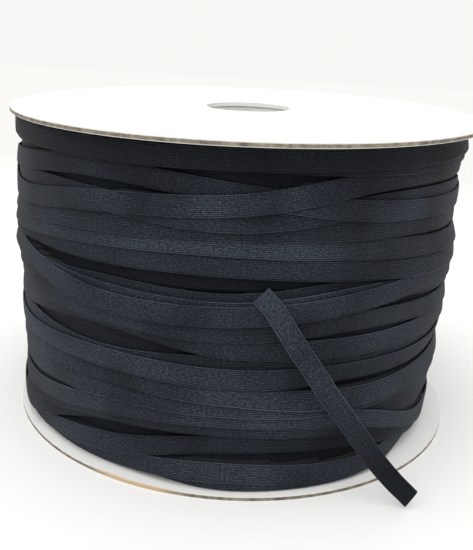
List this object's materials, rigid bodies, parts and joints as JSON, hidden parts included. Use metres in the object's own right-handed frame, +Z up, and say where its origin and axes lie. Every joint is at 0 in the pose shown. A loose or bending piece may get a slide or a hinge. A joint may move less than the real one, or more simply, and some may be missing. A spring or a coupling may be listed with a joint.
{
  "type": "reel of elastic",
  "caption": "Reel of narrow dark elastic tape wound between two round white board flanges on a spindle tube, with its loose end hanging down the front.",
  "frame": {"origin": "middle of the bounding box at the base, on the surface that the reel stands on, without the loose end", "axes": "+Z up the spindle tube, -Y to the front, where the loose end hangs, +X to the right"},
  "size_m": [0.168, 0.1701, 0.1156],
  "materials": {
    "flange_board": "white-lined greyboard, satin, with a raw grey-brown cut edge",
    "tube_board": "matt white-lined wound board",
    "elastic_tape": "matt braided tape with fine lengthwise ribs"
  },
  "bodies": {
    "root": {"bottom_flange": "flange_board", "top_flange": "flange_board", "core_tube": "tube_board", "wound_elastic": "elastic_tape", "loose_end": "elastic_tape"}
  },
  "joints": []
}
